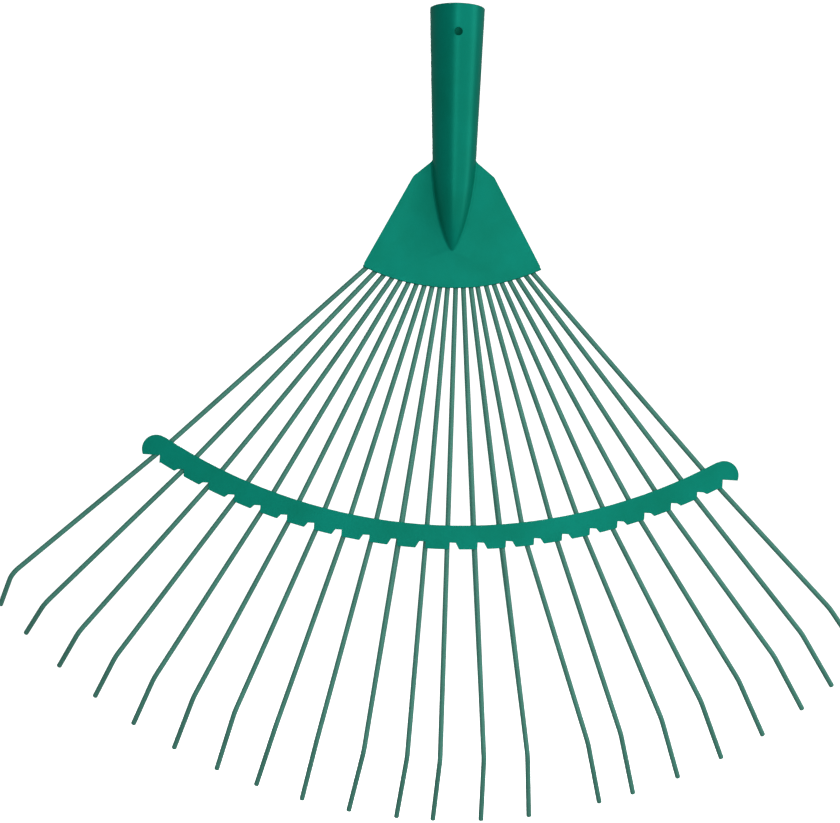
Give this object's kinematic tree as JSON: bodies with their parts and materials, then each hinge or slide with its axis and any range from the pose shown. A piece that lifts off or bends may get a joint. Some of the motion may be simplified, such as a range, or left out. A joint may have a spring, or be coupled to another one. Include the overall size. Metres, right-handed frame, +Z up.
{
  "type": "garden rake head",
  "caption": "Spring-tine lawn rake head: fan of straight wires with hooked tips, pressed fan plate with tapered handle socket, toothed cross brace.",
  "frame": {"origin": "centre of the socket's mouth, in the plane of its rim", "axes": "+Z up out of the socket's mouth along its axis, front face towards -Y, hooked tine tips bent towards +Y, tines fan out across X towards -Z"},
  "size_m": [0.4777, 0.0356, 0.4454],
  "materials": {
    "green_sheet": "satin green enamel on pressed steel sheet",
    "green_wire": "dark green enamel on round spring-steel wire"
  },
  "bodies": {
    "root": {"head_shell": "green_sheet", "back_plate": "green_sheet", "cross_brace": "green_sheet", "tine_01": "green_wire", "tine_02": "green_wire", "tine_03": "green_wire", "tine_04": "green_wire", "tine_05": "green_wire", "tine_06": "green_wire", "tine_07": "green_wire", "tine_08": "green_wire", "tine_09": "green_wire", "tine_10": "green_wire", "tine_11": "green_wire", "tine_12": "green_wire", "tine_13": "green_wire", "tine_14": "green_wire", "tine_15": "green_wire", "tine_16": "green_wire", "tine_17": "green_wire", "tine_18": "green_wire", "tine_19": "green_wire", "tine_20": "green_wire", "tine_21": "green_wire", "tine_22": "green_wire"}
  },
  "joints": []
}
